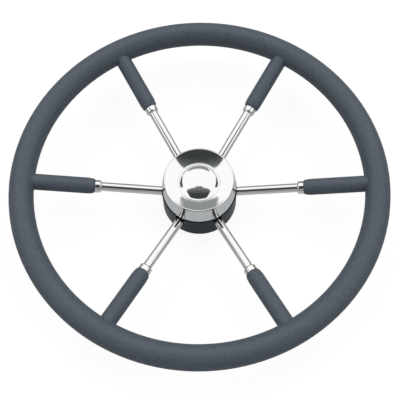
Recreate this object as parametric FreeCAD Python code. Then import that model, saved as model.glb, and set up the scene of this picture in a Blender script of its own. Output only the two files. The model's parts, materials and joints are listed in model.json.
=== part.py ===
import FreeCAD, Part
import math
import os

# Six-spoke stainless boat steering wheel with a soft covered rim.
# Millimetres. +Z is the shaft axis and points to the helmsman. The origin is the centre of the hub's
# flat back, and +X runs under the first spoke.

# Rim
wheel_diameter = 500.0
rim_section_diameter = 32.5
rim_plane_height = 60.0
core_tube_diameter = 16.0
core_tube_wall = 2.0

# Spokes
spoke_count = 6
spoke_diameter = 12.0
spoke_root_height = 24.0
spoke_spigot_diameter = 8.0
spoke_spigot_length = 6.0
spoke_end_chamfer = 0.8

# Sleeves of the rim cover, measured along the spoke from the wheel's axis
sleeve_diameter = 21.5
sleeve_start = 140.5
sleeve_shoulder_length = 9.0
sleeve_shoulder_rounding = 22.0
sleeve_cheek_diameter = 20.0
sleeve_cheek_length = 2.5
sleeve_cheek_rounding = 5.0
sleeve_mouth_diameter = 17.4
sleeve_mouth_rounding = 1.0

# Ferrules
ferrule_diameter = 17.0
ferrule_length = 8.4
ferrule_lip_rounding = 2.4
ferrule_seat_rounding = 0.3

# Hub
hub_diameter = 68.0
hub_boss_diameter = 44.0
hub_spoke_land = 6.0
hub_neck_height = 8.7
hub_edge_chamfer = 1.0
hub_corner_rounding = 0.8
spoke_socket_radius = 20.0
shaft_bore_diameter = 19.05
shaft_taper = 1.0 / 12.0
shaft_bore_length = 38.0
keyway_width = 4.8
keyway_depth = 2.4
nut_well_diameter = 30.0

# Hub trim, a pressing of one sheet
trim_sheet = 1.2
skirt_diameter = 98.6
skirt_lean = 3.4
skirt_bulge = 1.1
skirt_rounding = 60.0
trim_edge_rounding = 1.4
dish_depth = 8.7
dish_sag = 1.05
dish_rounding = 112.0
throat_diameter = 49.2
throat_depth = 9.8
throat_rounding = 1.8
flange_corner_rounding = 0.6
screw_seat_margin = 0.7

# Centre cap
cap_flange_overlap = 2.5
cap_flange_edge = 0.45
cap_flange_slope = 15.0
cap_flange_rounding = 10.0
dome_diameter = 47.6
dome_crown_radius = 57.5
dome_crown_slope = 22.5
dome_shoulder_rounding = 2.0
dome_wall_height = 0.95
dome_wall_lean = 0.3
cap_plug_wall = 4.2
cap_recess_depth = 4.2
cap_edge_rounding = 0.3
cap_ring_section = 2.0

# Rear cover
cover_diameter = 100.6
cover_draft = 0.2
cover_wall = 3.0
cover_back_rounding = 1.6
cover_front_rounding = 0.5
notch_roof_gap = 2.8
lip_height = 2.4
lip_wall = 1.4
cover_screw_post_diameter = 10.0
cover_screw_recess_diameter = 8.4
cover_screw_recess_depth = 9.0

# Screws
screw_diameter = 4.0
screw_end_chamfer = 0.4
screw_head_diameter = 7.6
screw_head_height = 2.2
screw_head_edge = 0.6
screw_head_edge_rounding = 0.3
screw_crown_inset = 1.2
screw_crown_rounding = 0.8
screw_socket_width = 2.5
screw_socket_depth = 1.4
screw_count = 3
trim_screw_length = 9.0
cover_screw_length = 12.5
trim_screw_turn = 30.0
cover_screw_turn = 90.0

# Clearances
weld_gap = 0.05
snug_gap = 0.05
cover_gap = 0.3
notch_gap = 0.4
boss_gap = 1.2
cap_slide_gap = 0.4
cap_screw_gap = 1.2
ring_groove_gap = 0.1
screw_hole_gap = 0.3
tapped_hole_spare = 1.0

# Worked out from the sizes above
rim_circle_radius = (wheel_diameter - rim_section_diameter) / 2.0
core_radius = core_tube_diameter / 2.0
spoke_radius = spoke_diameter / 2.0
spoke_rise = rim_plane_height - spoke_root_height
spoke_tilt = math.atan2(spoke_rise, rim_circle_radius)
spoke_reach = math.hypot(spoke_rise, rim_circle_radius)
spoke_step = 360.0 / spoke_count
spoke_half_height = spoke_radius / math.cos(spoke_tilt)
sleeve_radius = sleeve_diameter / 2.0
ferrule_start = sleeve_start - ferrule_length
skirt_radius = skirt_diameter / 2.0
trim_edge_radius = skirt_radius - skirt_lean
throat_radius = throat_diameter / 2.0


def spoke_height(radius):
    """Height of a spoke's axis at a distance from the wheel's axis."""
    return spoke_root_height + radius * math.tan(spoke_tilt)


hub_radius = hub_diameter / 2.0
hub_flange_bottom = spoke_height(spoke_socket_radius) - spoke_half_height - hub_spoke_land
hub_flange_top = spoke_height(hub_radius) + spoke_half_height + hub_spoke_land
hub_top = hub_flange_top + hub_neck_height
split_height = spoke_height(skirt_radius) + spoke_half_height + notch_roof_gap
trim_flange_top = hub_top + snug_gap + trim_sheet
trim_flange_radius = throat_radius - screw_head_diameter - 2 * screw_seat_margin
throat_height = hub_top + throat_depth
trim_edge_height = throat_height + dish_depth
dish_middle_radius = (trim_edge_radius + throat_radius) / 2.0
dish_middle_height = (trim_edge_height + throat_height) / 2.0 - dish_sag
dish_slope = (dish_middle_height - throat_height) / (dish_middle_radius - throat_radius)
cap_flange_radius = throat_radius + cap_flange_overlap
cap_seat_height = throat_height + dish_slope * cap_flange_overlap + snug_gap
cap_plug_radius = throat_radius - cap_slide_gap
cap_bottom = trim_flange_top + screw_head_height + cap_screw_gap
cap_ring_height = (cap_bottom + throat_height - throat_rounding) / 2.0
trim_screw_circle = throat_radius + trim_flange_radius
cover_screw_circle = (hub_boss_diameter + hub_diameter) / 2.0

shortest_run = 1e-6
hexagon_sides = 6
UP = FreeCAD.Vector(0, 0, 1)
CENTRE = FreeCAD.Vector(0, 0, 0)


def point(radius, height):
    """A point of a turned section: distance from the axis, and height."""
    return FreeCAD.Vector(radius, 0, height)


def add_run(edges, start, end):
    """Add a straight run, unless two arcs meet there."""
    if start.distanceToPoint(end) > shortest_run:
        edges.append(Part.makeLine(start, end))


def rounded_path(corners):
    """Straight runs joined by tangent arcs, from (radius, height, rounding) corners."""
    edges = []
    start = point(*corners[0][:2])
    for before, here, after in zip(corners, corners[1:], corners[2:]):
        corner = point(*here[:2])
        back = (point(*before[:2]) - corner).normalize()
        ahead = (point(*after[:2]) - corner).normalize()
        rounding = here[2]
        if rounding <= 0:
            add_run(edges, start, corner)
            start = corner
            continue
        half_angle = back.getAngle(ahead) / 2.0
        setback = rounding / math.tan(half_angle)
        inward = (back + ahead).normalize()
        first = corner + back * setback
        last = corner + ahead * setback
        middle = corner + inward * (rounding / math.sin(half_angle) - rounding)
        add_run(edges, start, first)
        edges.append(Part.Arc(first, middle, last).toShape())
        start = last
    add_run(edges, start, point(*corners[-1][:2]))
    return edges


def turned(corners):
    """A solid turned about +Z from a closed section of (radius, height, rounding) corners."""
    edges = rounded_path(corners)
    edges.append(Part.makeLine(point(*corners[-1][:2]), point(*corners[0][:2])))
    face = Part.Face(Part.Wire(edges))
    return face.revolve(CENTRE, UP, 360)


def beside(corners, thickness):
    """The corners of the parallel path that lies a thickness to the left of a path."""
    moved = []
    last = len(corners) - 1
    for index, (radius, height, rounding) in enumerate(corners):
        here = point(radius, height)
        before = point(*corners[max(index - 1, 0)][:2])
        after = point(*corners[min(index + 1, last)][:2])
        arriving = (here - before) if index > 0 else (after - here)
        leaving = (after - here) if index < last else (here - before)
        arriving.normalize()
        leaving.normalize()
        left_in = FreeCAD.Vector(-arriving.z, 0, arriving.x)
        left_out = FreeCAD.Vector(-leaving.z, 0, leaving.x)
        shift = (left_in + left_out) * (thickness / (1.0 + left_in.dot(left_out)))
        left_turn = arriving.x * leaving.z - arriving.z * leaving.x > 0
        if rounding > 0:
            rounding += -thickness if left_turn else thickness
        moved.append((radius + shift.x, height + shift.z, rounding))
    return moved


def pressed(corners, thickness):
    """A sheet of even thickness turned about +Z, to the left of a path of rounded corners."""
    under = list(reversed(beside(corners, thickness)))
    edges = rounded_path(corners)
    edges.append(Part.makeLine(point(*corners[-1][:2]), point(*under[0][:2])))
    edges += rounded_path(under)
    edges.append(Part.makeLine(point(*under[-1][:2]), point(*corners[0][:2])))
    return Part.Face(Part.Wire(edges)).revolve(CENTRE, UP, 360)


def cylinder(diameter, bottom, top, x=0.0, y=0.0):
    """An upright round bar between two heights."""
    return Part.makeCylinder(diameter / 2.0, top - bottom, FreeCAD.Vector(x, y, bottom), UP)


def along_spoke(shape, index):
    """Put a shape that was made along +Z from the origin onto one spoke's axis."""
    placed = shape.copy()
    placed.rotate(CENTRE, FreeCAD.Vector(0, 1, 0), 90 - math.degrees(spoke_tilt))
    placed.translate(UP * spoke_root_height)
    placed.rotate(CENTRE, UP, index * spoke_step)
    return placed


def around(circle_diameter, turn):
    """The (x, y) places of the screws on one circle."""
    places = []
    for index in range(screw_count):
        angle = math.radians(turn + index * 360.0 / screw_count)
        radius = circle_diameter / 2.0
        places.append((radius * math.cos(angle), radius * math.sin(angle)))
    return places


def rim_ring(diameter):
    """A ring of round section on the rim's centre circle."""
    return Part.makeTorus(rim_circle_radius, diameter / 2.0, UP * rim_plane_height, UP)


def rim_core():
    """Bent and welded tube, drilled on its inner side for the spokes' spigots."""
    tube = rim_ring(core_tube_diameter).cut(rim_ring(core_tube_diameter - 2 * core_tube_wall))
    drill = cylinder(spoke_spigot_diameter + 2 * snug_gap, sleeve_start, spoke_reach)
    holes = [along_spoke(drill, index) for index in range(spoke_count)]
    return tube.cut(holes)


def spoke(index):
    """Round bar from its socket in the hub to the rim tube, coped to the tube, with a spigot."""
    start = spoke_socket_radius / math.cos(spoke_tilt)
    bar = cylinder(spoke_diameter, start, spoke_reach)
    ends = [edge for edge in bar.Edges if edge.BoundBox.ZMax < start + shortest_run]
    bar = bar.makeChamfer(spoke_end_chamfer, ends)
    bar = along_spoke(bar, index).cut(rim_ring(core_tube_diameter + 2 * weld_gap))
    shoulder = spoke_reach - core_radius
    spigot = cylinder(spoke_spigot_diameter, shoulder - core_tube_wall, shoulder + spoke_spigot_length
                      - core_tube_wall)
    return bar.fuse(along_spoke(spigot, index)).removeSplitter()


def sleeve_outline():
    """One spoke sleeve, turned about the spoke, from its rounded mouth into the rim."""
    return turned([
        (0, sleeve_start, 0),
        (sleeve_mouth_diameter / 2.0, sleeve_start, sleeve_mouth_rounding),
        (sleeve_cheek_diameter / 2.0, sleeve_start + sleeve_cheek_length, sleeve_cheek_rounding),
        (sleeve_radius, sleeve_start + sleeve_shoulder_length, sleeve_shoulder_rounding),
        (sleeve_radius, spoke_reach, 0),
        (0, spoke_reach, 0),
    ])


def rim_cover():
    """The soft moulding: rim and sleeves in one, round the tube and the rods."""
    sleeve = sleeve_outline()
    body = rim_ring(rim_section_diameter)
    body = body.fuse([along_spoke(sleeve, index) for index in range(spoke_count)])
    rod = cylinder(spoke_diameter + 2 * snug_gap, ferrule_start, spoke_reach)
    rods = [along_spoke(rod, index) for index in range(spoke_count)]
    return body.cut([rim_ring(core_tube_diameter + 2 * snug_gap)] + rods)


def ferrule(index):
    """Turned collar on the rod, with a rounded lip towards the hub, seated on the sleeve's mouth."""
    bore = spoke_radius + snug_gap
    outer = ferrule_diameter / 2.0
    top = sleeve_start - snug_gap
    ring = turned([
        (bore, ferrule_start, 0),
        (outer, ferrule_start, ferrule_lip_rounding),
        (outer, top, ferrule_seat_rounding),
        (bore, top, 0),
    ])
    return along_spoke(ring, index)


def hub_body():
    """Turned hub: rear boss, spoke flange, neck, nut well and keyed taper bore."""
    boss = hub_boss_diameter / 2.0
    neck = throat_radius + trim_sheet
    well = nut_well_diameter / 2.0
    mouth = shaft_bore_diameter / 2.0
    throat = mouth - shaft_bore_length * shaft_taper / 2.0
    chamfer = hub_edge_chamfer
    body = turned([
        (mouth, 0, 0),
        (boss - chamfer, 0, 0),
        (boss, chamfer, 0),
        (boss, hub_flange_bottom, hub_corner_rounding),
        (hub_radius - chamfer, hub_flange_bottom, 0),
        (hub_radius, hub_flange_bottom + chamfer, 0),
        (hub_radius, hub_flange_top - chamfer, 0),
        (hub_radius - chamfer, hub_flange_top, 0),
        (neck, hub_flange_top, hub_corner_rounding),
        (neck, hub_top - chamfer, 0),
        (neck - chamfer, hub_top, 0),
        (well + chamfer, hub_top, 0),
        (well, hub_top - chamfer, 0),
        (well, shaft_bore_length, hub_corner_rounding),
        (throat, shaft_bore_length, 0),
    ])
    keyway = Part.makeBox(mouth + keyway_depth, keyway_width, shaft_bore_length + keyway_depth,
                          FreeCAD.Vector(0, -keyway_width / 2.0, -keyway_depth))
    keyway.rotate(point(mouth + keyway_depth, 0), FreeCAD.Vector(0, 1, 0),
                  -math.degrees(math.atan(shaft_taper / 2.0)))
    keyway = keyway.cut(cylinder(hub_diameter, shaft_bore_length, hub_top))
    socket = cylinder(spoke_diameter + 2 * snug_gap, spoke_socket_radius / math.cos(spoke_tilt),
                      hub_diameter)
    cuts = [along_spoke(socket, index) for index in range(spoke_count)]
    tapped = screw_diameter + 2 * snug_gap
    for x, y in around(trim_screw_circle, trim_screw_turn):
        deepest = trim_flange_top - trim_screw_length - tapped_hole_spare
        cuts.append(cylinder(tapped, deepest, hub_top, x, y))
    for x, y in around(cover_screw_circle, cover_screw_turn):
        deepest = cover_screw_recess_depth + cover_screw_length + tapped_hole_spare
        cuts.append(cylinder(tapped, hub_flange_bottom, deepest, x, y))
    return body.cut([keyway] + cuts)


def hub_trim():
    """Polished pressing: skirt, rounded edge, dished face, throat, and a flange with screw holes."""
    body = pressed([
        (skirt_radius, split_height + cover_gap, 0),
        (skirt_radius - skirt_lean / 2.0 + skirt_bulge, (split_height + trim_edge_height) / 2.0,
         skirt_rounding),
        (trim_edge_radius, trim_edge_height, trim_edge_rounding),
        (dish_middle_radius, dish_middle_height, dish_rounding),
        (throat_radius, throat_height, throat_rounding),
        (throat_radius, trim_flange_top, flange_corner_rounding),
        (trim_flange_radius, trim_flange_top, 0),
    ], trim_sheet)
    holes = [cylinder(screw_diameter + 2 * screw_hole_gap, hub_top, trim_flange_top, x, y)
             for x, y in around(trim_screw_circle, trim_screw_turn)]
    return body.cut(holes)


def centre_cap():
    """Turned and polished plug: thin flange, crowned dome, ring groove and a recess behind."""
    seat = cap_seat_height
    plug_seat = seat - dish_slope * (cap_flange_radius - cap_plug_radius)
    recess = cap_plug_radius - cap_plug_wall
    recess_top = cap_bottom + cap_recess_depth
    dome = dome_diameter / 2.0
    crease = dome + dome_wall_lean
    flange_slope = math.radians(cap_flange_slope)
    crown_slope = math.radians(dome_crown_slope)
    flange_bend = crease + cap_flange_rounding * math.tan(flange_slope / 2.0)
    flange_rise = (cap_flange_radius - flange_bend) * math.tan(flange_slope)
    crease_height = seat + cap_flange_edge - flange_rise
    shoulder_height = crease_height + dome_wall_height
    crown_bend = dome_crown_radius * math.tan(crown_slope / 2.0)
    apex = shoulder_height + (dome - crown_bend) * math.tan(crown_slope)
    body = turned([
        (0, recess_top, 0),
        (recess, recess_top, 0),
        (recess, cap_bottom, 0),
        (cap_plug_radius - cap_edge_rounding, cap_bottom, 0),
        (cap_plug_radius, cap_bottom + cap_edge_rounding, 0),
        (cap_plug_radius, plug_seat, 0),
        (cap_flange_radius, seat, 0),
        (cap_flange_radius, seat + cap_flange_edge, cap_edge_rounding),
        (flange_bend, crease_height, cap_flange_rounding),
        (crease, crease_height, 0),
        (dome, shoulder_height, dome_shoulder_rounding),
        (crown_bend, apex, dome_crown_radius),
        (0, apex, 0),
    ])
    half = cap_ring_section / 2.0 + ring_groove_gap
    floor = throat_radius - snug_gap - cap_ring_section - ring_groove_gap
    groove = turned([
        (floor, cap_ring_height - half, 0),
        (throat_radius, cap_ring_height - half, 0),
        (throat_radius, cap_ring_height + half, 0),
        (floor, cap_ring_height + half, 0),
    ])
    return body.cut(groove)


def cap_ring():
    """Rubber ring that stands in the cap's groove and grips the trim's throat."""
    section = cap_ring_section / 2.0
    return Part.makeTorus(throat_radius - snug_gap - section, section, UP * cap_ring_height, UP)


def rear_cover():
    """Moulded cup behind the trim, open-notched for the rods, with posts for its screws."""
    front = cover_diameter / 2.0
    back = front - cover_draft
    hole = hub_boss_diameter / 2.0 + boss_gap
    lip_outer = skirt_radius - trim_sheet - cover_gap
    lip_inner = lip_outer - lip_wall
    inner = back - cover_wall
    body = turned([
        (hole, 0, 0),
        (back, 0, cover_back_rounding),
        (front, split_height, cover_front_rounding),
        (lip_outer, split_height, 0),
        (lip_outer, split_height + lip_height, 0),
        (lip_inner, split_height + lip_height, 0),
        (lip_inner, split_height - lip_height, 0),
        (inner, split_height - 2 * lip_height, 0),
        (inner, cover_wall, cover_back_rounding),
        (hole, cover_wall, 0),
    ])
    posts = []
    cuts = []
    for x, y in around(cover_screw_circle, cover_screw_turn):
        posts.append(cylinder(cover_screw_post_diameter, cover_wall / 2.0,
                              hub_flange_bottom - snug_gap, x, y))
        cuts.append(cylinder(cover_screw_recess_diameter, 0, cover_screw_recess_depth, x, y))
        cuts.append(cylinder(screw_diameter + 2 * screw_hole_gap, 0, hub_flange_bottom, x, y))
    body = body.fuse(posts)
    notch_width = spoke_diameter + 2 * notch_gap
    notch_inside = hub_radius
    notch_outside = front + notch_width
    bar = cylinder(notch_width, notch_inside, notch_outside)
    slot = Part.makeBox(split_height, notch_width, notch_outside - notch_inside,
                        FreeCAD.Vector(-split_height, -notch_width / 2.0, notch_inside))
    for index in range(spoke_count):
        cuts.append(along_spoke(bar, index))
        cuts.append(along_spoke(slot, index))
    return body.cut(cuts)


def screw(length):
    """Round-headed socket screw that hangs below its head's underside at the origin."""
    head = screw_head_diameter / 2.0
    shank = screw_diameter / 2.0
    body = turned([
        (0, -length, 0),
        (shank - screw_end_chamfer, -length, 0),
        (shank, screw_end_chamfer - length, 0),
        (shank, 0, 0),
        (head, 0, 0),
        (head, screw_head_edge, screw_head_edge_rounding),
        (head - screw_crown_inset, screw_head_height, screw_crown_rounding),
        (0, screw_head_height, 0),
    ])
    corner = screw_socket_width / math.sqrt(3.0)
    corners = []
    for index in range(hexagon_sides + 1):
        angle = math.radians(360.0 / hexagon_sides * index)
        corners.append(FreeCAD.Vector(corner * math.cos(angle), corner * math.sin(angle),
                                      screw_head_height - screw_socket_depth))
    socket = Part.Face(Part.makePolygon(corners)).extrude(UP * screw_head_height)
    return body.cut(socket)


def trim_screws():
    """The screws that clamp the trim's inner flange to the hub."""
    screws = []
    for x, y in around(trim_screw_circle, trim_screw_turn):
        copy = screw(trim_screw_length)
        copy.translate(FreeCAD.Vector(x, y, trim_flange_top))
        screws.append(copy)
    return Part.makeCompound(screws)


def rear_cover_screws():
    """The screws that hold the rear cover, driven from behind."""
    screws = []
    for x, y in around(cover_screw_circle, cover_screw_turn):
        copy = screw(cover_screw_length)
        copy.rotate(CENTRE, FreeCAD.Vector(1, 0, 0), 180)
        copy.translate(FreeCAD.Vector(x, y, cover_screw_recess_depth))
        screws.append(copy)
    return Part.makeCompound(screws)


def build():
    """Every piece by name."""
    pieces = {
        "rim_core": rim_core(),
        "rim_cover": rim_cover(),
        "hub_body": hub_body(),
        "hub_trim": hub_trim(),
        "centre_cap": centre_cap(),
        "cap_ring": cap_ring(),
        "rear_cover": rear_cover(),
        "trim_screws": trim_screws(),
        "rear_cover_screws": rear_cover_screws(),
    }
    for index in range(spoke_count):
        pieces["spoke_%d" % (index + 1)] = spoke(index)
        pieces["ferrule_%d" % (index + 1)] = ferrule(index)
    return pieces


os.makedirs("parts", exist_ok=True)
for name, shape in build().items():
    shape.exportStep("parts/%s.step" % name)
    print("%-18s solids %d  valid %s  %.1f cm3" % (name, len(shape.Solids), shape.isValid(),
                                                  shape.Volume / 1000.0))
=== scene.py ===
import json
import math

import bpy
from mathutils import Matrix, Vector


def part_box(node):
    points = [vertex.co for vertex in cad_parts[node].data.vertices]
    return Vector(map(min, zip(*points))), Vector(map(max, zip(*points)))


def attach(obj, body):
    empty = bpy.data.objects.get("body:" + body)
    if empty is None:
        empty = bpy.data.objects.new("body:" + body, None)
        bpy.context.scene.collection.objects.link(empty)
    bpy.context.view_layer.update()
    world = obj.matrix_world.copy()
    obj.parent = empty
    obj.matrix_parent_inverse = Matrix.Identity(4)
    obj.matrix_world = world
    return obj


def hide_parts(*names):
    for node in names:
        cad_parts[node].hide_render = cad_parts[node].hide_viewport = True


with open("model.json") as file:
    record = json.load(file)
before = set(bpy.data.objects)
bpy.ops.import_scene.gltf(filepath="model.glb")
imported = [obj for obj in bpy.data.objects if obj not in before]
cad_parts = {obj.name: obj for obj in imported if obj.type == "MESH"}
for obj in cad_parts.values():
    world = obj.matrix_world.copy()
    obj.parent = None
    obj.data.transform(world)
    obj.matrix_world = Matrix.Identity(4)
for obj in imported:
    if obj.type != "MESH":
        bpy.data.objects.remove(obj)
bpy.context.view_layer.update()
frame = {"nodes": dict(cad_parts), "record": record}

MM = 0.001
WHITE = (1.0, 1.0, 1.0)

# Camera, in the wheel's frame: it looks down on the wheel from the near side
CAMERA_PLACE = Vector((23.8, -470.4, 1049.9)) * MM
CAMERA_BACK = Vector((0.0203, -0.4094, 0.9121))
CAMERA_UP = Vector((-0.0065, 0.9122, 0.4096))
LENS_MM = 75.0
SENSOR_MM = 36.0


def make_camera():
    """The camera stands where the photograph was taken from."""
    data = bpy.data.cameras.new("camera")
    data.lens = LENS_MM
    data.sensor_width = SENSOR_MM
    camera = bpy.data.objects.new("camera", data)
    back = CAMERA_BACK.normalized()
    right = CAMERA_UP.cross(back).normalized()
    up = back.cross(right)
    turn = Matrix((right, up, back)).transposed().to_4x4()
    camera.matrix_world = Matrix.Translation(CAMERA_PLACE) @ turn
    bpy.context.scene.collection.objects.link(camera)
    bpy.context.scene.camera = camera


make_camera()


# A colour Mix node's sockets go by number, because several of them share a name
MIX_FACTOR, MIX_COLOURS, MIX_RESULT = 0, (6, 7), 2


class Nodes:
    """Short calls for building one node tree."""

    def __init__(self, tree):
        self.tree = tree

    def add(self, kind, **settings):
        """A new node with its properties and its sockets' values set by name."""
        node = self.tree.nodes.new(kind)
        for name, value in settings.items():
            if hasattr(node, name):
                setattr(node, name, value)
            else:
                node.inputs[name.replace("_", " ")].default_value = value
        return node

    def link(self, source, target):
        self.tree.links.new(source, target)

    def maths(self, operation, *values):
        """One Math node; each value is a socket or a number."""
        node = self.add("ShaderNodeMath", operation=operation)
        for socket, value in zip(node.inputs, values):
            if isinstance(value, (int, float)):
                socket.default_value = value
            else:
                self.link(value, socket)
        return node.outputs[0]

    def times(self, first, second):
        return self.maths("MULTIPLY", first, second)

    def ramp(self, source, low, high):
        """A smooth step from 0 at low to 1 at high."""
        step = self.add("ShaderNodeMapRange", interpolation_type="SMOOTHSTEP")
        step.inputs["From Min"].default_value = min(low, high)
        step.inputs["From Max"].default_value = max(low, high)
        if low > high:
            step.inputs["To Min"].default_value = 1.0
            step.inputs["To Max"].default_value = 0.0
        self.link(source, step.inputs["Value"])
        return step.outputs["Result"]

    def blend(self, mask, first, second):
        """The first colour where the mask is 0 and the second where it is 1; each is a socket or a tuple."""
        mix = self.add("ShaderNodeMix", data_type="RGBA")
        self.link(mask, mix.inputs[MIX_FACTOR])
        for number, colour in zip(MIX_COLOURS, (first, second)):
            if isinstance(colour, tuple):
                mix.inputs[number].default_value = (*colour, 1.0)
            else:
                self.link(colour, mix.inputs[number])
        return mix.outputs[MIX_RESULT]

    def sum_shaders(self, *shaders):
        """The light of all the shaders together."""
        total = shaders[0]
        for shader in shaders[1:]:
            both = self.add("ShaderNodeAddShader")
            self.link(total, both.inputs[0])
            self.link(shader, both.inputs[1])
            total = both.outputs[0]
        return total


def new_material(name):
    """A material with an empty tree, and its output node."""
    material = bpy.data.materials.new(name)
    material.use_nodes = True
    material.node_tree.nodes.clear()
    nodes = Nodes(material.node_tree)
    output = nodes.add("ShaderNodeOutputMaterial")
    return material, nodes, output


# Finishes: linear colours, and noise scales in cells per metre
STEEL_TINT = (0.68, 0.68, 0.675)
TURNED_TINT = (0.66, 0.655, 0.645)
POLISHED_ROUGHNESS = 0.04
TURNED_ROUGHNESS = 0.12
SMUDGE_SCALE, SMUDGE_DETAIL = 55.0, 4.0
SMUDGE_LEAST, SMUDGE_MOST = 0.6, 1.5
RING_DRIFT, RING_DETAIL = 0.06, 1.0
RING_PITCH, RING_GROOVE = 1.6 * MM, 0.05 * MM
TURNED_PITCH, TURNED_GROOVE = 0.4 * MM, 0.006 * MM
GRAIN_SCALE, GRAIN_DETAIL = 450.0, 3.0
GRAIN_DARK, GRAIN_LIGHT = 0.25, 0.75
GRAIN_STRENGTH, GRAIN_HEIGHT = 0.25, 0.3 * MM


def steel(name, tint, roughness):
    """Stainless with faint smudges in its gloss: the material, its nodes, its shader and its coordinates."""
    material, nodes, output = new_material(name)
    shader = nodes.add("ShaderNodeBsdfPrincipled", Base_Color=(*tint, 1.0), Metallic=1.0)
    place = nodes.add("ShaderNodeTexCoord")
    smudge = nodes.add("ShaderNodeTexNoise", Scale=SMUDGE_SCALE, Detail=SMUDGE_DETAIL)
    nodes.link(place.outputs["Object"], smudge.inputs["Vector"])
    gloss = nodes.add("ShaderNodeMapRange")
    gloss.inputs["To Min"].default_value = roughness * SMUDGE_LEAST
    gloss.inputs["To Max"].default_value = roughness * SMUDGE_MOST
    nodes.link(smudge.outputs["Fac"], gloss.inputs["Value"])
    nodes.link(gloss.outputs["Result"], shader.inputs["Roughness"])
    nodes.link(shader.outputs["BSDF"], output.inputs["Surface"])
    return material, nodes, shader, place.outputs["Object"]


def spun_steel(name, tint, roughness, pitch, groove):
    """Stainless finished while it turns: fine rings round the wheel's axis, uneven along their length."""
    material, nodes, shader, place = steel(name, tint, roughness)
    split = nodes.add("ShaderNodeSeparateXYZ")
    nodes.link(place, split.inputs[0])
    x, y, z = split.outputs
    radius = nodes.maths("SQRT", nodes.maths("MULTIPLY_ADD", x, x, nodes.times(y, y)))
    rings = nodes.add("ShaderNodeCombineXYZ")
    nodes.link(nodes.maths("ADD", radius, z), rings.inputs[0])
    nodes.link(nodes.times(x, RING_DRIFT), rings.inputs[1])
    nodes.link(nodes.times(y, RING_DRIFT), rings.inputs[2])
    noise = nodes.add("ShaderNodeTexNoise", Scale=1.0 / pitch, Detail=RING_DETAIL)
    nodes.link(rings.outputs[0], noise.inputs["Vector"])
    bump = nodes.add("ShaderNodeBump", Distance=groove)
    nodes.link(noise.outputs["Fac"], bump.inputs["Height"])
    nodes.link(bump.outputs["Normal"], shader.inputs["Normal"])
    return material


def soft_skin(name, dark, light, roughness, gloss=0.5):
    """Matte moulding with a fine grain between two tones; a gloss of 0.5 is the usual reflection."""
    material, nodes, output = new_material(name)
    shader = nodes.add("ShaderNodeBsdfPrincipled", Roughness=roughness, Specular_IOR_Level=gloss)
    place = nodes.add("ShaderNodeTexCoord")
    grain = nodes.add("ShaderNodeTexNoise", Scale=GRAIN_SCALE, Detail=GRAIN_DETAIL)
    nodes.link(place.outputs["Object"], grain.inputs["Vector"])
    tone = nodes.blend(nodes.ramp(grain.outputs["Fac"], GRAIN_DARK, GRAIN_LIGHT), dark, light)
    nodes.link(tone, shader.inputs["Base Color"])
    bump = nodes.add("ShaderNodeBump", Strength=GRAIN_STRENGTH, Distance=GRAIN_HEIGHT)
    nodes.link(grain.outputs["Fac"], bump.inputs["Height"])
    nodes.link(bump.outputs["Normal"], shader.inputs["Normal"])
    nodes.link(shader.outputs["BSDF"], output.inputs["Surface"])
    return material


finishes = {
    "polished_stainless": steel("polished_stainless", STEEL_TINT, POLISHED_ROUGHNESS)[0],
    "turned_stainless": spun_steel(
        "turned_stainless", TURNED_TINT, TURNED_ROUGHNESS, TURNED_PITCH, TURNED_GROOVE
    ),
    "soft_cover": soft_skin(
        "soft_cover", dark=(0.066, 0.088, 0.112), light=(0.102, 0.128, 0.157), roughness=0.55
    ),
    "dark_moulding": soft_skin(
        "dark_moulding", dark=(0.014, 0.022, 0.031), light=(0.020, 0.029, 0.039), roughness=0.32, gloss=0.07
    ),
    "black_rubber": soft_skin(
        "black_rubber", dark=(0.015, 0.015, 0.015), light=(0.022, 0.022, 0.022), roughness=0.6
    ),
}
spun_finish = spun_steel("spun_stainless", STEEL_TINT, POLISHED_ROUGHNESS, RING_PITCH, RING_GROOVE)
SPUN_NODES = ("hub_trim", "centre_cap")


def dress_nodes():
    """Each CAD node gets its slot's finish, and the hub's front the finish with rings."""
    slots = {row["node"]: row["material_slot"] for row in frame["record"]["subparts"]}
    for name, node in frame["nodes"].items():
        node.data.materials.clear()
        node.data.materials.append(spun_finish if name in SPUN_NODES else finishes[slots[name]])


dress_nodes()


# Centre cap: radii and heights above the bottom of its plug in millimetres, slopes in degrees
RECESS_RADIUS, RECESS_DEPTH = 20.0, 4.2
PLUG_RADIUS, PLUG_HEIGHT = 24.2, 5.076
GROOVE_RADIUS, GROOVE_LOW, GROOVE_HIGH = 22.45, 0.575, 2.775
CAP_EDGE_ROUNDING = 0.3
FLANGE_RADIUS, FLANGE_SEAT = 27.85, 6.218
FLANGE_SLOPE, FLANGE_BEND = 15.0, 8.0
CREASE_HEIGHT = 6.283
BEND_STEPS, EDGE_STEPS = 8, 6
DOME_ARCS = (  # radius, slope at its outer end, steps
    (57.5, 21.0, 24),
    (16.5, 40.0, 16),
)
CAP_SEGMENTS = 240


def arc(centre, radius, start, end, steps):
    """Points of a circle's arc; angles from straight up, positive away from the axis."""
    angles = [math.radians(start + (end - start) * step / steps) for step in range(steps + 1)]
    return [(centre[0] + radius * math.sin(a), centre[1] + radius * math.cos(a)) for a in angles]


def dome_outline():
    """The dome's half section from the apex down to the crease: arcs that run smoothly into each other."""
    points, slope = [(0.0, 0.0)], 0.0
    for radius, end, steps in DOME_ARCS:
        start_radius, start_height = points[-1]
        lean = math.radians(slope)
        centre = (start_radius - radius * math.sin(lean), start_height - radius * math.cos(lean))
        points += arc(centre, radius, slope, end, steps)[1:]
        slope = end
    drop = points[-1][1]
    return [(radius, height - drop + CREASE_HEIGHT) for radius, height in points]


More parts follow.
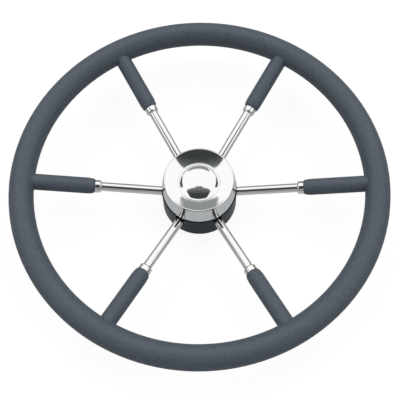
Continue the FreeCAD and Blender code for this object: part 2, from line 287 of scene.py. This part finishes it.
def flange_outline(crease_radius):
    """The flange's top from its rounded edge in to the crease, without the crease itself."""
    middle = (crease_radius, CREASE_HEIGHT + FLANGE_BEND)
    bend = arc(middle, -FLANGE_BEND, 0.0, -FLANGE_SLOPE, BEND_STEPS)
    bend_radius, bend_height = bend[-1]
    top = bend_height + (FLANGE_RADIUS - bend_radius) * math.tan(math.radians(FLANGE_SLOPE))
    middle = (FLANGE_RADIUS - CAP_EDGE_ROUNDING, top - CAP_EDGE_ROUNDING)
    edge = arc(middle, CAP_EDGE_ROUNDING, 90.0, -FLANGE_SLOPE, EDGE_STEPS)
    return edge + bend[:0:-1]


def cap_outline():
    """The cap's half section from its recess round the outside to the apex, and the sharp corners in it."""
    plug = [
        (RECESS_RADIUS, RECESS_DEPTH),
        (RECESS_RADIUS, 0.0),
        (PLUG_RADIUS - CAP_EDGE_ROUNDING, 0.0),
        (PLUG_RADIUS, CAP_EDGE_ROUNDING),
        (PLUG_RADIUS, GROOVE_LOW),
        (GROOVE_RADIUS, GROOVE_LOW),
        (GROOVE_RADIUS, GROOVE_HIGH),
        (PLUG_RADIUS, GROOVE_HIGH),
        (PLUG_RADIUS, PLUG_HEIGHT),
        (FLANGE_RADIUS, FLANGE_SEAT),
    ]
    dome = dome_outline()
    crease = dome[-1]
    outline = [(0.0, RECESS_DEPTH)] + plug + flange_outline(crease[0]) + dome[::-1]
    return outline, plug + [crease]


def turned_mesh(name, outline, sharp, bottom):
    """A closed solid turned about the wheel's axis, which its outline starts and ends on.
    The outline's height 0 lies at that bottom, in metres, and its sharp corners become sharp edges."""
    corners, rings, faces, creases = [], [], [], set()
    for radius, height in outline:
        height = bottom + height * MM
        if radius == 0.0:
            rings.append([len(corners)] * CAP_SEGMENTS)
            corners.append((0.0, 0.0, height))
            continue
        rings.append(list(range(len(corners), len(corners) + CAP_SEGMENTS)))
        for step in range(CAP_SEGMENTS):
            turn = 2 * math.pi * step / CAP_SEGMENTS
            corners.append((radius * math.cos(turn) * MM, radius * math.sin(turn) * MM, height))
    for below, above in zip(rings, rings[1:]):
        for step in range(CAP_SEGMENTS):
            after = (step + 1) % CAP_SEGMENTS
            face = (below[step], below[after], above[after], above[step])
            faces.append(tuple(dict.fromkeys(face)))  # three corners beside a point on the axis
    for point, ring in zip(outline, rings):
        if point in sharp:
            creases |= {frozenset((ring[step], ring[step - 1])) for step in range(CAP_SEGMENTS)}
    mesh = bpy.data.meshes.new(name)
    mesh.from_pydata(corners, [], faces)
    mesh.shade_smooth()
    marks = mesh.attributes.new("sharp_edge", "BOOLEAN", "EDGE")
    for edge in mesh.edges:
        marks.data[edge.index].value = frozenset(edge.vertices) in creases
    return mesh


def make_cap():
    """The centre cap in place of its plain solid: the same plug under a fuller dome and flange."""
    outline, sharp = cap_outline()
    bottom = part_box("centre_cap")[0].z
    mesh = turned_mesh("centre_cap_dome", outline, sharp, bottom)
    mesh.materials.append(spun_finish)
    cap = bpy.data.objects.new("centre_cap_dome", mesh)
    bpy.context.scene.collection.objects.link(cap)
    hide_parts("centre_cap")
    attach(cap, "root")


make_cap()


# Floor: just under the wheel's back; the camera and the metal each see it with a fill of light
FLOOR_REACH = 3.0
FLOOR_DROP = 0.05 * MM
FLOOR_TONE = 0.2
FLOOR_FILL = 0.88
METAL_FLOOR = (0.455, 0.475, 0.492)


def make_floor():
    """A plain floor with the wheel's soft shadow; the camera sees it filled to white, the metal to grey."""
    signs = ((-1, -1), (1, -1), (1, 1), (-1, 1))
    corners = [(FLOOR_REACH * x, FLOOR_REACH * y, -FLOOR_DROP) for x, y in signs]
    mesh = bpy.data.meshes.new("floor")
    mesh.from_pydata(corners, [], [(0, 1, 2, 3)])
    floor = bpy.data.objects.new("floor", mesh)
    bpy.context.scene.collection.objects.link(floor)
    material, nodes, output = new_material("floor")
    diffuse = nodes.add("ShaderNodeBsdfDiffuse", Color=(FLOOR_TONE, FLOOR_TONE, FLOOR_TONE, 1.0))
    fill = nodes.add("ShaderNodeEmission", Color=(*WHITE, 1.0))
    sheen = nodes.add("ShaderNodeEmission", Color=(*METAL_FLOOR, 1.0))
    path = nodes.add("ShaderNodeLightPath")
    seen = nodes.maths("MAXIMUM", path.outputs["Is Camera Ray"], path.outputs["Is Transmission Ray"])
    nodes.link(nodes.times(seen, FLOOR_FILL), fill.inputs["Strength"])
    nodes.link(path.outputs["Is Glossy Ray"], sheen.inputs["Strength"])
    light = nodes.sum_shaders(diffuse.outputs[0], fill.outputs[0], sheen.outputs[0])
    nodes.link(light, output.inputs["Surface"])
    mesh.materials.append(material)


# Studio: tones as shares of the soft light's level, and places in degrees from straight up.
# A pair says where a mask is 0 and where it is 1
LIGHT_LEVEL = 1.42
BRIGHT = (1.0, 0.985, 1.0)
# The brownish horizon all round, and its two strips at the sides
HORIZON = (0.085, 0.072, 0.048)
HORIZON_TILT = (70, 77)
STRIP_SPREAD = (49, 53)
STRIP_MIDDLE, STRIP_LENGTH = 27.0, (26, 16)
# The grey wall at the far side: round, with its near part cut off along a hill
FAR_WALL = (0.26, 0.289, 0.282)
WALL_RADIUS, WALL_ACROSS, WALL_AWAY = 26.0, -2.5, 55.0
WALL_EDGE = (1.06, 0.94)  # in squared radii
WALL_HILL_TOP, WALL_HILL_FALL, WALL_HILL_EDGE = 60.3, 7.0, (-1.2, 1.2)
# The dark ground low at the near side, and its lighter middle
NEAR_SIDES = (0.095, 0.10, 0.098)
NEAR_LOW = (0.352, 0.352, 0.331)
NEAR_AWAY = (-46, -56)
NEAR_SPREAD = (30, 20)
# The dark room behind the camera: its far edge has a hill in the middle and droops at both ends
DUSK = (0.165, 0.175, 0.175)
DARK_ROOM = (0.044, 0.048, 0.050)
ROOM_ACROSS, ROOM_AWAY, ROOM_EDGE = -2.0, 1.0, (2, -2)
HILL_WIDTH, HILL_HEIGHT = 13.0, 5.5
DROOP_START = 27.0
ROOM_WIDTH = (38, 34)
ROOM_NEAR_END = (-57, -47)
DEEP_AWAY = (3, -16)
OVER_ONE = 1.00001  # so that nothing is divided by zero straight up


def compass(nodes):
    """The seen direction in degrees from straight up, and its parts across (right) and away (far side)."""
    place = nodes.add("ShaderNodeTexCoord")
    split = nodes.add("ShaderNodeSeparateXYZ")
    nodes.link(place.outputs["Generated"], split.inputs[0])
    east, north, up = split.outputs
    tilt = nodes.times(nodes.maths("ARCCOSINE", up), math.degrees(1))
    flat = nodes.maths("SQRT", nodes.maths("MULTIPLY_ADD", up, nodes.times(up, -1.0), OVER_ONE))
    across = nodes.times(tilt, nodes.maths("DIVIDE", east, flat))
    away = nodes.times(tilt, nodes.maths("DIVIDE", north, flat))
    return tilt, across, away


def room_masks(nodes, across, away):
    """The masks of the dark room and of its deep part."""
    hill = nodes.maths("POWER", math.e, nodes.times(nodes.times(across, across), -1.0 / HILL_WIDTH**2))
    width = nodes.maths("ABSOLUTE", nodes.maths("SUBTRACT", across, ROOM_ACROSS))
    droop = nodes.maths("MAXIMUM", nodes.maths("SUBTRACT", width, DROOP_START), 0.0)
    front = nodes.maths("ADD", nodes.maths("SUBTRACT", away, ROOM_AWAY), droop)
    edge = nodes.maths("MULTIPLY_ADD", hill, -HILL_HEIGHT, front)
    dark = nodes.times(nodes.ramp(edge, *ROOM_EDGE), nodes.ramp(width, *ROOM_WIDTH))
    dark = nodes.times(dark, nodes.ramp(away, *ROOM_NEAR_END))
    deep = nodes.times(dark, nodes.ramp(away, *DEEP_AWAY))
    return dark, deep


def wall_mask(nodes, across, away):
    """The mask of the grey wall at the far side."""
    shift = nodes.maths("MULTIPLY_ADD", across, 1.0 / WALL_RADIUS, -WALL_ACROSS / WALL_RADIUS)
    fall = nodes.times(shift, shift)
    front = nodes.maths("MULTIPLY_ADD", fall, WALL_HILL_FALL, nodes.maths("SUBTRACT", away, WALL_HILL_TOP))
    above = nodes.maths("MULTIPLY_ADD", away, 1.0 / WALL_RADIUS, -WALL_AWAY / WALL_RADIUS)
    from_middle = nodes.maths("MULTIPLY_ADD", above, above, fall)
    return nodes.times(nodes.ramp(front, *WALL_HILL_EDGE), nodes.ramp(from_middle, *WALL_EDGE))


def strip_mask(nodes, spread, away):
    """The mask of the two strips at the sides."""
    from_middle = nodes.maths("ABSOLUTE", nodes.maths("SUBTRACT", away, STRIP_MIDDLE))
    return nodes.times(nodes.ramp(spread, *STRIP_SPREAD), nodes.ramp(from_middle, *STRIP_LENGTH))


def make_world():
    """Soft light from above, with darker places round it that show in the steel; the camera sees white."""
    world = bpy.data.worlds.new("studio")
    bpy.context.scene.world = world
    world.use_nodes = True
    world.node_tree.nodes.clear()
    nodes = Nodes(world.node_tree)
    output = nodes.add("ShaderNodeOutputWorld")
    tilt, across, away = compass(nodes)
    spread = nodes.maths("ABSOLUTE", across)
    near_sides = nodes.ramp(away, *NEAR_AWAY)
    near_low = nodes.times(near_sides, nodes.ramp(spread, *NEAR_SPREAD))
    dark, deep = room_masks(nodes, across, away)
    camera_sees = nodes.add("ShaderNodeLightPath").outputs["Is Camera Ray"]
    layers = (
        (nodes.ramp(tilt, *HORIZON_TILT), HORIZON),
        (strip_mask(nodes, spread, away), HORIZON),
        (wall_mask(nodes, across, away), FAR_WALL),
        (near_sides, NEAR_SIDES),
        (near_low, NEAR_LOW),
        (dark, DUSK),
        (deep, DARK_ROOM),
        (camera_sees, WHITE),
    )
    tone = BRIGHT
    for mask, colour in layers:
        tone = nodes.blend(mask, tone, colour)
    level = nodes.maths("MULTIPLY_ADD", camera_sees, 1.0 - LIGHT_LEVEL, LIGHT_LEVEL)
    light = nodes.add("ShaderNodeBackground")
    nodes.link(tone, light.inputs["Color"])
    nodes.link(level, light.inputs["Strength"])
    nodes.link(light.outputs[0], output.inputs["Surface"])


make_floor()
make_world()
bpy.context.scene.view_settings.view_transform = "Standard"
